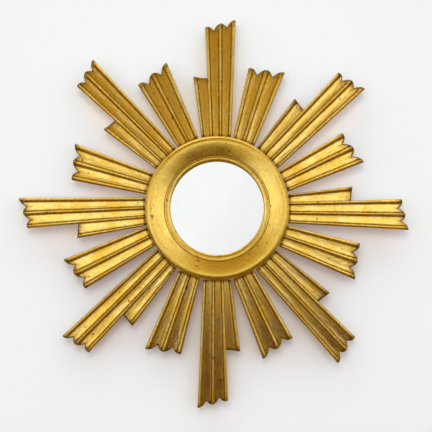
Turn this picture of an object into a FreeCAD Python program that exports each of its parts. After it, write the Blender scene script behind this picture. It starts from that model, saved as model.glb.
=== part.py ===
import FreeCAD, Part
import math
import os

import Sketcher

# A round mirror in a turned ring with sixteen carved rays, hung on a wall. Every piece is modelled as it
# lies face up on a bench, with Z towards the viewer, and its Placement then stands it against the wall:
# X to the right, Z up, the front towards -Y and the origin at the middle of the face on the wall.

# Driving dimensions in millimetres and degrees

DIMENSIONS = [
    ("cover_lap", 14.0, "how far the cover on the wall laps onto the hub"),
    ("hub_thickness", 12.0, "plywood ring that carries the rays"),
    ("hub_inset", 4.0, "how far the hub stays behind the edge of the ring frame"),
    ("hub_width", 37.0, "from the hub's edge to its opening"),
    ("ray_thickness", 15.0, "from the hub to the tops of the ridges"),
    ("ring_radius", 111.0, "outer edge of the ring frame"),
    ("ring_width", 39.6, "from that edge in to the glass that shows"),
    ("rim_width", 6.0, "roll on the outer edge"),
    ("rim_side", 5.2, "upright edge below that roll"),
    ("rim_crown", 5.4, "rise of that roll"),
    ("cushion_height", 11.5, "crest of the ring above the rays"),
    ("cushion_round", 2.0, "outer shoulder of the cushion"),
    ("shoulder_drop", 0.3, "drop of that shoulder from the crest to its edge"),
    ("cushion_fall", 3.8, "drop of the cushion from its crest to the inner bead"),
    ("bead_width", 3.6, "thin bead round the glass"),
    ("bead_base", 5.6, "foot of that bead above the rays"),
    ("sight_width", 6.4, "slope between the inner bead and the glass"),
    ("sight_edge", 2.6, "height of the slope's lower edge above the rays"),
    ("glass_seat", 1.4, "front of the glass above the rays"),
    ("rebate_width", 4.6, "cover of the ring over the glass"),
    ("skirt_wall", 4.5, "wall round the glass, down to the hub"),
    ("glass_thickness", 3.0, "silvered glass"),
    ("glass_bevel", 0.5, "ground edge of the glass"),
    ("glass_clearance", 0.5, "room round the glass and its card"),
    ("card_thickness", 2.0, "card behind the glass"),
    ("pin_radius", 0.7, "brads behind the card"),
    ("pin_length", 10.0, "length of a brad"),
    ("pin_bite", 3.6, "how far a brad is driven into the skirt"),
    ("root_gap", 0.5, "room between the skirt and the rays"),
    ("joint_gap", 0.3, "room between neighbouring rays"),
    ("long_reach", 299.0, "centre to the longest corner of a long ray"),
    ("long_tip_width", 47.6, "width at that corner"),
    ("long_flare_angle", 2.4, "degrees that each side opens"),
    ("long_offset", 5.4, "how far the ray's middle passes clockwise of the centre"),
    ("long_slant_angle", 13.4, "degrees that the end falls back"),
    ("long_notch", 7.6, "depth of the notch at each flute"),
    ("lobe_setback", 87.3, "from the longest corner back to the lobe's corner"),
    ("lobe_width", 21.7, "width of the lobe at its end"),
    ("lobe_flare_angle", 7.8, "degrees that the lobe's side opens"),
    ("lobe_slant_angle", 5.7, "degrees that the lobe's end runs out"),
    ("short_reach", 237.3, "centre to the longest corner of a short ray"),
    ("short_tip_width", 56.2, "width at that corner"),
    ("short_flare_angle", 5.0, "degrees that each side opens"),
    ("short_offset", 7.5, "how far the ray's middle passes clockwise of the centre"),
    ("short_slant_angle", 10.2, "degrees that the end falls back"),
    ("short_notch", 9.2, "depth of the notch at each flute"),
    ("short_skew_angle", 4.3, "degrees that a short ray leans from its radius"),
    ("flute_depth", 3.6, "at the tip of a ray"),
    ("split_after_angle", 13.6, "degrees from a long ray's radius to the joint after it"),
    ("split_before_angle", 11.5, "degrees back to the joint before it"),
    ("clamp_bite", 7.0, "grip of the long screws in the ring"),
    ("clamp_radius", 2.0, "shank of the long screws"),
    ("clamp_head", 4.0, "head radius of the long screws"),
    ("ray_screw_bite", 10.0, "grip of the short screws in the rays"),
    ("ray_screw_radius", 1.75, "shank of the short screws"),
    ("ray_screw_head", 3.5, "head radius of the short screws"),
    ("ray_screw_step_angle", 3.0, "degrees from a ray's long screw to its short one"),
    ("cover_screw_bite", 8.0, "grip of the cover's screws in the hub"),
    ("cover_screw_radius", 1.5, "shank of the cover's screws"),
    ("cover_screw_head", 3.0, "head radius of the cover's screws"),
    ("hanger_screw_bite", 8.5, "grip of the hanger's screws in the hub"),
    ("hanger_screw_radius", 1.1, "shank of the hanger's screws"),
    ("screw_clearance", 0.06, "room round a screw or a brad in its hole"),
    ("head_sink", 0.2, "how far a screw head lies below its surface"),
    ("slot_width", 0.9, "driver slot"),
    ("hanger_room", 0.98, "room between the hanger and the wall"),
    ("plate_thickness", 1.2, "hanger plate"),
    ("plate_width", 30.0, "hanger plate"),
    ("plate_height", 10.0, "hanger plate"),
    ("plate_corner", 2.5, "round corners of the hanger plate"),
    ("plate_gap", 4.5, "from the cover up to the hanger plate"),
    ("plate_screw_spacing", 20.0, "between the plate's two screws"),
    ("neck_length", 2.6, "from the plate to the knuckle's middle"),
    ("knuckle_width", 10.0, "rolled end of the plate"),
    ("bar_room", 0.55, "straight wire beside the knuckle"),
    ("wire_radius", 1.25, "hanger ring"),
    ("wire_clearance", 0.06, "room of the wire in the knuckle"),
    ("loop_width", 15.0, "inside of the hanger ring"),
    ("loop_height", 13.0, "inside of the hanger ring"),
    ("overrun", 4.0, "how far cuts run past the solid"),
]

# Each ray was cut and set by hand: its turn from an even layout, in degrees, and its reach
LONG_TURN_ANGLES = [-0.8, -0.4, 0.1, 0.4, 2.5, -0.1, -0.2, -1.5]
LONG_REACH_SHARES = [0.987, 0.973, 0.969, 0.992, 1.017, 1.029, 1.027, 1.006]
SHORT_TURN_ANGLES = [-0.7, 0.4, 0.9, 2.2, -0.2, -0.6, -1.4, -0.6]
SHORT_REACH_SHARES = [0.986, 0.972, 0.989, 1.001, 1.039, 1.013, 1.009, 0.993]

# Section of a ray across its half width, and of a flute in its depth
EDGE_SHARE = 0.085
RIDGE_SHARE = 0.09
CENTRE_RIDGE_SHARE = 0.045
FLANK_SHARE = 0.14
FLOOR_SAG_SHARE = 0.17
EDGE_DROP_SHARE = 0.6
NOTCH_MOUTH_SHARES = (0.115, 0.435, 0.755)

# Section of a lobe across its own width
LOBE_EDGE_SHARE = 0.08
LOBE_RIDGE_SHARE = 0.085
LOBE_FLANK_SHARE = 0.13

# Screws: their circles between a ray's root and the hub's edge, the slot in a head, the point on a shank
CLAMP_CIRCLE_SHARE = 0.31
RAY_SCREW_CIRCLE_SHARE = 0.73
SLOT_DEPTH_SHARE = 0.5
POINT_SHARE = 2.0

RAYS = 8
PINS = 8
COVER_SCREWS = 6
FULL_TURN_ANGLE = 360.0
PITCH_ANGLE = FULL_TURN_ANGLE / RAYS
BENCH_TO_WALL_ANGLE = 90.0
SIDES = (-1, 1)

doc = FreeCAD.newDocument("sunburst_mirror")
sheet = doc.addObject("Spreadsheet::Sheet", "sizes")


class Size:
    """A number together with the sheet formula that it comes from."""

    def __init__(self, value, formula):
        self.value = value
        self.formula = formula

    def __add__(self, other):
        other = sized(other)
        return Size(self.value + other.value, f"({self.formula} + {other.formula})")

    def __sub__(self, other):
        other = sized(other)
        return Size(self.value - other.value, f"({self.formula} - {other.formula})")

    def __mul__(self, other):
        other = sized(other)
        return Size(self.value * other.value, f"({self.formula} * {other.formula})")

    def __truediv__(self, other):
        other = sized(other)
        return Size(self.value / other.value, f"({self.formula} / {other.formula})")

    def __neg__(self):
        return Size(-self.value, f"(0 - {self.formula})")


def sized(number):
    return number if isinstance(number, Size) else Size(float(number), f"{float(number):.6f}")


def tangent(angle):
    return Size(math.tan(math.radians(angle.value)), f"tan({angle.formula})")


def sine(angle):
    return Size(math.sin(math.radians(angle.value)), f"sin({angle.formula})")


def cosine(angle):
    return Size(math.cos(math.radians(angle.value)), f"cos({angle.formula})")


def read_dimensions():
    """Writes the dimensions to the sheet and returns each by its name."""
    sizes = {}
    for row, (name, value, note) in enumerate(DIMENSIONS, start=1):
        sheet.set(f"A{row}", name)
        sheet.set(f"B{row}", str(value))
        sheet.set(f"C{row}", note)
        sheet.setAlias(f"B{row}", name)
        sizes[name] = Size(value, f"{sheet.Name}.{name}")
    doc.recompute()
    return sizes


D = read_dimensions()
ZERO = sized(0)

# Radii of the ring, the glass in it and the hub behind it
SIGHT_RADIUS = D["ring_radius"] - D["ring_width"]
REBATE_RADIUS = SIGHT_RADIUS + D["rebate_width"]
GLASS_RADIUS = REBATE_RADIUS - D["glass_clearance"]
SKIRT_RADIUS = REBATE_RADIUS + D["skirt_wall"]
ROOT_RADIUS = SKIRT_RADIUS + D["root_gap"]
HUB_RADIUS = D["ring_radius"] - D["hub_inset"]
HUB_OPENING = HUB_RADIUS - D["hub_width"]
COVER_RADIUS = HUB_OPENING + D["cover_lap"]
CLAMP_CIRCLE = ROOT_RADIUS + (HUB_RADIUS - ROOT_RADIUS) * CLAMP_CIRCLE_SHARE
RAY_SCREW_CIRCLE = ROOT_RADIUS + (HUB_RADIUS - ROOT_RADIUS) * RAY_SCREW_CIRCLE_SHARE
COVER_SCREW_CIRCLE = (HUB_OPENING + COVER_RADIUS) / 2

# Hanger at the top of the hub's back
KNUCKLE_BORE = D["wire_radius"] + D["wire_clearance"]
KNUCKLE_RADIUS = KNUCKLE_BORE + D["plate_thickness"]
PLATE_MIDDLE = COVER_RADIUS + D["plate_gap"] + D["plate_height"] / 2
KNUCKLE_HEIGHT = PLATE_MIDDLE + D["plate_height"] / 2 + D["neck_length"]

# Levels above the wall. The cover is as thick as the hanger is deep
COVER_THICKNESS = KNUCKLE_RADIUS * 2 + D["hanger_room"]
HUB_BACK = COVER_THICKNESS
HUB_FRONT = HUB_BACK + D["hub_thickness"]
RAY_TOP = HUB_FRONT + D["ray_thickness"]
GLASS_FRONT = RAY_TOP + D["glass_seat"]
CARD_FRONT = GLASS_FRONT - D["glass_thickness"]
CARD_BACK = CARD_FRONT - D["card_thickness"]
PIN_LEVEL = CARD_BACK - D["pin_radius"]
KNUCKLE_LEVEL = HUB_BACK - KNUCKLE_RADIUS
PLATE_FACE = HUB_BACK - D["plate_thickness"]

# Screws: shank radius, head radius, length from the face that holds the head, and that face. The hanger's
# screws have heads that end within its plate
HANGER_HEAD = D["hanger_screw_radius"] + D["plate_thickness"] - D["head_sink"] - D["screw_clearance"]
CLAMP = (D["clamp_radius"], D["clamp_head"],
         D["hub_thickness"] + D["ray_thickness"] + D["clamp_bite"], HUB_BACK)
RAY_SCREW = (D["ray_screw_radius"], D["ray_screw_head"],
             D["hub_thickness"] + D["ray_screw_bite"], HUB_BACK)
COVER_SCREW = (D["cover_screw_radius"], D["cover_screw_head"],
               COVER_THICKNESS + D["cover_screw_bite"], ZERO)
HANGER_SCREW = (D["hanger_screw_radius"], HANGER_HEAD,
                D["plate_thickness"] + D["hanger_screw_bite"], PLATE_FACE)


# Shared steps

def bind(target, name, size):
    target.setExpression(name, size.formula)


def stand_up(piece, angle=ZERO):
    """Turns a piece about the mirror's axis and stands it from the bench against the wall."""
    turn = f"rotationy(0 - {angle.formula}) * rotationx({BENCH_TO_WALL_ANGLE})"
    piece.setExpression("Placement", f"placement(vector(0; 0; 0); {turn})")


def new_body(name, separate_solids=False):
    body = doc.addObject("PartDesign::Body", name)
    body.Label = name
    body.AllowCompound = separate_solids
    return body


def origin_part(body, role):
    return next(part for part in body.Origin.OriginFeatures if part.Role == role)


def new_sketch(body, name, plane, height=ZERO):
    sketch = body.newObject("Sketcher::SketchObject", name)
    sketch.AttachmentSupport = (origin_part(body, plane), [""])
    sketch.MapMode = "FlatFace"
    bind(sketch, "AttachmentOffset.Base.z", height)
    return sketch


def constrain(sketch, rules):
    """Adds constraints, each given with the size that drives it or None."""
    indexes = sketch.addConstraint([rule for rule, _ in rules])
    for index, (_, size) in zip(indexes, rules):
        if size is not None:
            bind(sketch, f"Constraints[{index}]", size)


def place_point(geometry, point, across, up):
    """The two rules that hold one point of a sketch."""
    return [
        (Sketcher.Constraint("DistanceX", -1, 1, geometry, point, across.value), across),
        (Sketcher.Constraint("DistanceY", -1, 1, geometry, point, up.value), up),
    ]


def place_arc_centre(geometry, start, end, centre):
    """The rule for the one coordinate of an arc's centre that its two ends leave free."""
    level = abs(start[0].value - end[0].value) >= abs(start[1].value - end[1].value)
    kind, size = ("DistanceY", centre[1]) if level else ("DistanceX", centre[0])
    return (Sketcher.Constraint(kind, -1, 1, geometry, 3, size.value), size)


def vector(point):
    return FreeCAD.Vector(point[0].value, point[1].value, 0)


def arc_between(start, end, centre, counter_clockwise):
    middle = vector(centre)
    first, last = (vector(start), vector(end)) if counter_clockwise else (vector(end), vector(start))
    circle = Part.Circle(middle, FreeCAD.Vector(0, 0, 1), (first - middle).Length)
    angles = [math.atan2(p.y - middle.y, p.x - middle.x) for p in (first, last)]
    return Part.ArcOfCircle(circle, *angles)


def outline(sketch, points, arcs=None):
    """Draws a closed outline through the points. arcs gives, for the side that starts at a point's
    index, its centre and whether it runs counter-clockwise."""
    arcs = arcs or {}
    following = points[1:] + points[:1]
    ends = []
    rules = []
    for index, (start, end) in enumerate(zip(points, following)):
        if index in arcs:
            centre, counter_clockwise = arcs[index]
            geometry = sketch.addGeometry(arc_between(start, end, centre, counter_clockwise))
            ends.append((geometry, 1, 2) if counter_clockwise else (geometry, 2, 1))
            rules.append(place_arc_centre(geometry, start, end, centre))
        else:
            geometry = sketch.addGeometry(Part.LineSegment(vector(start), vector(end)))
            ends.append((geometry, 1, 2))
    for index, point in enumerate(points):
        geometry, first, _ = ends[index]
        before, _, last = ends[index - 1]
        rules.append((Sketcher.Constraint("Coincident", before, last, geometry, first), None))
        rules += place_point(geometry, first, *point)
    constrain(sketch, rules)


def circle_at(sketch, across, up, radius):
    circle = Part.Circle(vector((across, up)), FreeCAD.Vector(0, 0, 1), radius.value)
    geometry = sketch.addGeometry(circle)
    size_rule = (Sketcher.Constraint("Radius", geometry, radius.value), radius)
    constrain(sketch, place_point(geometry, 3, across, up) + [size_rule])


def upright_axis(sketch, across):
    """A construction line to turn an outline about, upwards from the sketch's base line."""
    top = D["hub_thickness"]
    line = Part.LineSegment(vector((across, ZERO)), vector((across, top)))
    geometry = sketch.addGeometry(line, True)
    constrain(sketch, place_point(geometry, 1, across, ZERO) + place_point(geometry, 2, across, top))


def sagged_centre(start, end, sag):
    """Centre of an arc that hangs below a level chord by the sag."""
    chord = end[0] - start[0]
    radius = (chord * chord / 4 + sag * sag) / (sag * 2)
    return ((start[0] + end[0]) / 2, start[1] - sag + radius)


def pad(body, sketch, name, length):
    feature = body.newObject("PartDesign::Pad", name)
    feature.Profile = sketch
    bind(feature, "Length", length)
    return feature


def cut_forward(body, sketch, name, depth=None):
    """Cuts the sketch's outlines along its normal, right through or to a depth."""
    feature = body.newObject("PartDesign::Pocket", name)
    feature.Profile = sketch
    feature.Reversed = True
    if depth is None:
        feature.Type = "ThroughAll"
    else:
        bind(feature, "Length", depth)
    return feature


def turned(body, sketch, name, kind="PartDesign::Revolution", axis="V_Axis"):
    feature = body.newObject(kind, name)
    feature.Profile = sketch
    feature.ReferenceAxis = (sketch, [axis])
    return feature


def around(body, features, name, count):
    """Repeats features evenly about the mirror's axis."""
    pattern = body.newObject("PartDesign::PolarPattern", name)
    pattern.Originals = features
    pattern.Axis = (origin_part(body, "Z_Axis"), [""])
    pattern.Angle = FULL_TURN_ANGLE
    pattern.Occurrences = count
    body.Tip = pattern


def make_disc(name, radius, level, thickness):
    body = new_body(name)
    sketch = new_sketch(body, f"{name}_outline", "XY_Plane", level)
    circle_at(sketch, ZERO, ZERO, radius)
    pad(body, sketch, f"{name}_blank", thickness)
    stand_up(body)
    return body


# Screws and their holes

def turn_screw(body, name, screw, across, distance=ZERO):
    """A slotted screw, driven up from its face, at a place across and up the bench."""
    radius, head, length, face = screw
    sunk = face + D["head_sink"]
    profile = new_sketch(body, f"{name}_profile", "XZ_Plane", -distance)
    outline(profile, [
        (across, sunk),
        (across + head, sunk),
        (across + radius, sunk + head - radius),
        (across + radius, sunk + length - radius * POINT_SHARE),
        (across, sunk + length),
    ])
    upright_axis(profile, across)
    shank = turned(body, profile, f"{name}_shank", axis="Axis0")
    slot = new_sketch(body, f"{name}_slot", "XY_Plane", sunk)
    half = D["slot_width"] / 2
    outline(slot, [
        (across - half, distance - head - half),
        (across + half, distance - head - half),
        (across + half, distance + head + half),
        (across - half, distance + head + half),
    ])
    driver = cut_forward(body, slot, f"{name}_driver_slot", (head - radius) * SLOT_DEPTH_SHARE)
    return [shank, driver]


def drill_screw_hole(body, name, screw, across, distance=ZERO):
    """A countersunk clearance hole in the face that holds a screw's head."""
    radius, head, length, face = screw
    room = D["screw_clearance"]
    sunk = face + D["head_sink"]
    profile = new_sketch(body, f"{name}_profile", "XZ_Plane", -distance)
    outline(profile, [
        (across, face - D["overrun"]),
        (across + head + room, face - D["overrun"]),
        (across + head + room, sunk),
        (across + radius + room, sunk + head - radius),
        (across + radius + room, face + length),
        (across, face + length),
    ])
    upright_axis(profile, across)
    return turned(body, profile, f"{name}_hole", "PartDesign::Groove", "Axis0")


def pilot_depth(bite):
    return bite + D["head_sink"] + D["screw_clearance"]


def make_screw_circle(name, screw, circle, count, step=ZERO):
    body = new_body(name, separate_solids=True)
    around(body, turn_screw(body, name, screw, circle), f"{name}_around", count)
    stand_up(body, step)


# Ring frame, glass, card and brads

def arc_radius(reach, drop):
    """Radius of an arc that starts level and falls by the drop over the reach."""
    return (reach * reach + drop * drop) / (drop * 2)


def ring_outline():
    """Half section of the ring: its seat, rim roll, cushion, inner bead, sight slope and rebate."""
    rim_inner = D["ring_radius"] - D["rim_width"]
    crest = rim_inner - D["cushion_round"]
    bead_inner = SIGHT_RADIUS + D["sight_width"]
    bead_outer = bead_inner + D["bead_width"]
    rim_level = RAY_TOP + D["rim_side"]
    crest_level = RAY_TOP + D["cushion_height"]
    shoulder_level = crest_level - D["shoulder_drop"]
    shoulder_radius = arc_radius(D["cushion_round"], D["shoulder_drop"])
    bead_level = RAY_TOP + D["bead_base"]
    fall = D["cushion_fall"]
    cushion_radius = arc_radius(crest - bead_outer, fall)
    rim_top = rim_level + D["rim_crown"]
    rim_radius = arc_radius(D["rim_width"], D["rim_crown"])
    points = [
        (SKIRT_RADIUS, HUB_FRONT),
        (SKIRT_RADIUS, RAY_TOP),
        (D["ring_radius"], RAY_TOP),
        (D["ring_radius"], rim_level),
        (rim_inner, rim_top),
        (rim_inner, shoulder_level),
        (crest, crest_level),
        (bead_outer, crest_level - fall),
        (bead_outer, bead_level),
        (bead_inner, bead_level),
        (SIGHT_RADIUS, RAY_TOP + D["sight_edge"]),
        (SIGHT_RADIUS, GLASS_FRONT),
        (REBATE_RADIUS, GLASS_FRONT),
        (REBATE_RADIUS, HUB_FRONT),
    ]
    arcs = {
        3: ((rim_inner, rim_top - rim_radius), True),
        5: ((crest, crest_level - shoulder_radius), True),
        6: ((crest, crest_level - cushion_radius), True),
        8: (((bead_outer + bead_inner) / 2, bead_level), True),
    }
    return points, arcs


def make_ring_frame():
    body = new_body("ring_frame")
    section = new_sketch(body, "ring_section", "XZ_Plane")
    outline(section, *ring_outline())
    turned(body, section, "ring_turning")
    pilot = new_sketch(body, "ring_pilot", "XY_Plane", RAY_TOP)
    circle_at(pilot, CLAMP_CIRCLE, ZERO, D["clamp_radius"] + D["screw_clearance"])
    pilot_hole = cut_forward(body, pilot, "ring_pilot_hole", pilot_depth(D["clamp_bite"]))
    around(body, [pilot_hole], "ring_pilot_holes", RAYS * 2)
    brad = new_sketch(body, "ring_brad", "YZ_Plane", REBATE_RADIUS - D["overrun"])
    circle_at(brad, ZERO, PIN_LEVEL, D["pin_radius"] + D["screw_clearance"])
    depth = D["overrun"] + D["pin_bite"] + D["screw_clearance"]
    around(body, [cut_forward(body, brad, "ring_brad_hole", depth)], "ring_brad_holes", PINS)
    stand_up(body)


def make_mirror_glass():
    body = new_body("mirror_glass")
    bevel = D["glass_bevel"]
    section = new_sketch(body, "glass_section", "XZ_Plane")
    outline(section, [
        (ZERO, CARD_FRONT),
        (GLASS_RADIUS - bevel, CARD_FRONT),
        (GLASS_RADIUS, CARD_FRONT + bevel),
        (GLASS_RADIUS, GLASS_FRONT - bevel),
        (GLASS_RADIUS - bevel, GLASS_FRONT),
        (ZERO, GLASS_FRONT),
    ])
    turned(body, section, "glass_blank")
    stand_up(body)


def make_glazing_pins():
    body = new_body("glazing_pins", separate_solids=True)
    inner_end = REBATE_RADIUS + D["pin_bite"] - D["pin_length"]
    section = new_sketch(body, "pin_section", "YZ_Plane", inner_end)
    circle_at(section, ZERO, PIN_LEVEL, D["pin_radius"])
    around(body, [pad(body, section, "pin", D["pin_length"])], "pins_around", PINS)
    stand_up(body)


# Hub and back cover

def make_hub_board():
    body = new_body("hub_board")
    blank = new_sketch(body, "hub_outline", "XY_Plane", HUB_BACK)
    circle_at(blank, ZERO, ZERO, HUB_RADIUS)
    circle_at(blank, ZERO, ZERO, HUB_OPENING)
    pad(body, blank, "hub_blank", D["hub_thickness"])
    clamp_hole = drill_screw_hole(body, "hub_clamp", CLAMP, CLAMP_CIRCLE)
    around(body, [clamp_hole], "hub_clamp_holes", RAYS * 2)
    step = D["ray_screw_step_angle"]
    across = RAY_SCREW_CIRCLE * cosine(step)
    distance = RAY_SCREW_CIRCLE * sine(step)
    ray_hole = drill_screw_hole(body, "hub_ray_screw", RAY_SCREW, across, distance)
    around(body, [ray_hole], "hub_ray_screw_holes", RAYS * 2)
    cover = new_sketch(body, "hub_cover_pilot", "XY_Plane", HUB_BACK)
    circle_at(cover, COVER_SCREW_CIRCLE, ZERO, D["cover_screw_radius"] + D["screw_clearance"])
    cover_hole = cut_forward(body, cover, "hub_cover_hole", pilot_depth(D["cover_screw_bite"]))
    around(body, [cover_hole], "hub_cover_holes", COVER_SCREWS)
    hanger = new_sketch(body, "hub_hanger_pilot", "XY_Plane", HUB_BACK)
    for side in SIDES:
        circle_at(hanger, D["plate_screw_spacing"] * side / 2, PLATE_MIDDLE,
                  D["hanger_screw_radius"] + D["screw_clearance"])
    cut_forward(body, hanger, "hub_hanger_holes", pilot_depth(D["hanger_screw_bite"]))
    stand_up(body)


def make_back_cover():
    body = make_disc("back_cover", COVER_RADIUS, ZERO, COVER_THICKNESS)
    hole = drill_screw_hole(body, "cover_screw", COVER_SCREW, COVER_SCREW_CIRCLE)
    around(body, [hole], "cover_screw_holes", COVER_SCREWS)


# Carved rays

def ray_section(offset, half, depth):
    """Section of a ray with two flutes between three ridges, about a middle line at -offset."""
    floor = RAY_TOP - depth * (1 - FLOOR_SAG_SHARE)
    outer_top = 1 - EDGE_SHARE
    outer_ridge = outer_top - RIDGE_SHARE
    side = [
        (1, HUB_FRONT),
        (1, RAY_TOP - depth * EDGE_DROP_SHARE),
        (outer_top, RAY_TOP),
        (outer_ridge, RAY_TOP),
        (outer_ridge - FLANK_SHARE, floor),
        (CENTRE_RIDGE_SHARE + FLANK_SHARE, floor),
        (CENTRE_RIDGE_SHARE, RAY_TOP),
    ]
    points = [(half * -share - offset, level) for share, level in side]
    points += [(half * share - offset, level) for share, level in reversed(side)]
    sag = depth * FLOOR_SAG_SHARE
    arcs = {
        4: (sagged_centre(points[4], points[5], sag), True),
        8: (sagged_centre(points[8], points[9], sag), True),
    }
    return points, arcs


def lobe_section(offset, half, outer, depth):
    """Section of the third flute, from inside the ray's last ridge to the lobe's own ridge."""
    floor = RAY_TOP - depth * (1 - FLOOR_SAG_SHARE)
    inside = half * (1 - EDGE_SHARE - RIDGE_SHARE / 2) - offset
    side = half - offset
    width = outer - side
    ridge_outer = outer - width * LOBE_EDGE_SHARE
    ridge_inner = ridge_outer - width * LOBE_RIDGE_SHARE
    points = [
        (inside, HUB_FRONT),
        (outer, HUB_FRONT),
        (outer, RAY_TOP - depth * EDGE_DROP_SHARE),
        (ridge_outer, RAY_TOP),
        (ridge_inner, RAY_TOP),
        (ridge_inner - width * LOBE_FLANK_SHARE, floor),
        (side, floor),
        (inside, floor),
    ]
    arcs = {5: (sagged_centre(points[6], points[5], depth * FLOOR_SAG_SHARE), False)}
    return points, arcs


def loft(body, name, stations):
    """A straight loft through two sections, each given with its distance along the ray."""
    sketches = []
    for index, (along, (points, arcs)) in enumerate(stations):
        sketch = new_sketch(body, f"{name}_section_{index}", "YZ_Plane", along)
        outline(sketch, points, arcs)
        sketches.append(sketch)
    feature = body.newObject("PartDesign::AdditiveLoft", name)
    feature.Profile = sketches[0]
    feature.Sections = sketches[1:]
    feature.Ruled = True


def cut_tip(sketch, reach, half, offset, slant, notch):
    """The waste past a slanting end with a notch at each flute."""
    fall = tangent(slant)

    def end_point(across, depth=ZERO):
        return (reach - fall * (across + half) - depth, across - offset)

    near, apex, far = NOTCH_MOUTH_SHARES
    past = half + D["overrun"]
    far_side = reach + D["overrun"] * 2
    corners = [
        end_point(-past),
        end_point(half * -far),
        end_point(half * -apex, notch),
        end_point(half * -near),
        end_point(half * near),
        end_point(half * apex, notch),
        end_point(half * far),
        end_point(past),
    ]
    outline(sketch, corners + [(far_side, corners[-1][1]), (far_side, corners[0][1])])


def cut_root_side(sketch, angle, side, width):
    """The waste beyond one joint with a neighbouring ray, on the side given by -1 or 1."""
    slope = tangent(angle)
    gap = D["joint_gap"] / 2 / cosine(angle)
    near = ROOT_RADIUS - D["overrun"]
    far = D["ring_radius"] + width
    first = (near, slope * near - gap * side)
    last = (far, slope * far - gap * side)
    outline(sketch, [first, last, (last[0], last[1] + width * side), (first[0], first[1] + width * side)])


def drill_root(body, name, screw_radius, circle, angle, depth=None):
    """A screw's hole up from the hub, at an angle from the ray's own middle line."""
    sketch = new_sketch(body, f"{name}_place", "XY_Plane", HUB_FRONT - D["overrun"])
    circle_at(sketch, circle * cosine(angle), circle * sine(angle), screw_radius + D["screw_clearance"])
    cut_forward(body, sketch, name, depth and depth + D["overrun"])


def add_lobe(body, name, half_at, depth_at, reach):
    """The shorter flute on the counter-clockwise side of a long ray."""
    corner = reach - D["lobe_setback"]
    offset = D["long_offset"]
    corner_side = half_at(corner) - offset + D["lobe_width"]
    opening = tangent(D["lobe_flare_angle"])
    end = corner + D["overrun"]

    def side_at(along):
        return corner_side - opening * (corner - along)

    loft(body, f"{name}_lobe", [
        (along, lobe_section(offset, half_at(along), side_at(along), depth_at(along)))
        for along in (ROOT_RADIUS, end)
    ])
    waste = new_sketch(body, f"{name}_lobe_waste", "XY_Plane")
    past = side_at(end) + D["overrun"]
    run = tangent(D["lobe_slant_angle"])
    outline(waste, [
        (corner - run * corner_side, ZERO),
        (corner + run * (past - corner_side), past),
        (end + D["overrun"], past),
        (end + D["overrun"], ZERO),
    ])
    cut_forward(body, waste, f"{name}_lobe_end")


def make_ray(name, kind, place, lean, reach_share, joints, lobed):
    """One carved ray. place is its angle in the even layout. lean, its own turn, and the joints before
    and after it are measured from there."""
    body = new_body(name)
    reach = D[f"{kind}_reach"] * reach_share
    offset = D[f"{kind}_offset"]
    opening = tangent(D[f"{kind}_flare_angle"])
    width = D[f"{kind}_tip_width"]
    tip_half = width / 2

    def half_at(along):
        return tip_half - opening * (reach - along)

    def depth_at(along):
        return D["flute_depth"] * half_at(along) / tip_half

    if lobed:
        add_lobe(body, name, half_at, depth_at, reach)
    loft(body, f"{name}_bar", [
        (along, ray_section(offset, half_at(along), depth_at(along)))
        for along in (ROOT_RADIUS, reach + D["overrun"])
    ])
    waste = new_sketch(body, f"{name}_waste", "XY_Plane")
    cut_tip(waste, reach, tip_half, offset, D[f"{kind}_slant_angle"], D[f"{kind}_notch"])
    for joint, side in zip(joints, SIDES):
        cut_root_side(waste, joint - lean, side, width)
    cut_forward(body, waste, f"{name}_ends")
    drill_root(body, f"{name}_clamp_hole", D["clamp_radius"], CLAMP_CIRCLE, -lean)
    drill_root(body, f"{name}_screw_hole", D["ray_screw_radius"], RAY_SCREW_CIRCLE,
               D["ray_screw_step_angle"] - lean, pilot_depth(D["ray_screw_bite"]))
    stand_up(body, lean + place)


def joints_of_long(index):
    """The joints before and after a long ray, each turned with the two rays that meet there."""
    turn_before = (SHORT_TURN_ANGLES[index - 1] + LONG_TURN_ANGLES[index]) / 2
    turn_after = (LONG_TURN_ANGLES[index] + SHORT_TURN_ANGLES[index]) / 2
    return -D["split_before_angle"] + turn_before, D["split_after_angle"] + turn_after


def make_rays():
    half_pitch = PITCH_ANGLE / 2
    for index in range(RAYS):
        number = index + 1
        place = PITCH_ANGLE * index
        before, after = joints_of_long(index)
        next_before, _ = joints_of_long(number % RAYS)
        make_ray(f"long_ray_{number}", "long", place, sized(LONG_TURN_ANGLES[index]),
                 LONG_REACH_SHARES[index], (before, after), True)
        short_lean = D["short_skew_angle"] + SHORT_TURN_ANGLES[index]
        make_ray(f"short_ray_{number}", "short", place + half_pitch, short_lean,
                 SHORT_REACH_SHARES[index], (after - half_pitch, next_before + half_pitch), False)


# Hanger plate, its ring and its screws

def rounded_rectangle(sketch, middle, width, height, corner):
    """A rectangle with round corners, counter-clockwise from its lower left."""
    right = width / 2
    top = middle + height / 2
    bottom = middle - height / 2
    inner = right - corner
    low = bottom + corner
    high = top - corner
    points = [
        (-inner, bottom),
        (inner, bottom),
        (right, low),
        (right, high),
        (inner, top),
        (-inner, top),
        (-right, high),
        (-right, low),
    ]
    arcs = {
        1: ((inner, low), True),
        3: ((inner, high), True),
        5: ((-inner, high), True),
        7: ((-inner, low), True),
    }
    outline(sketch, points, arcs)


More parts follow.
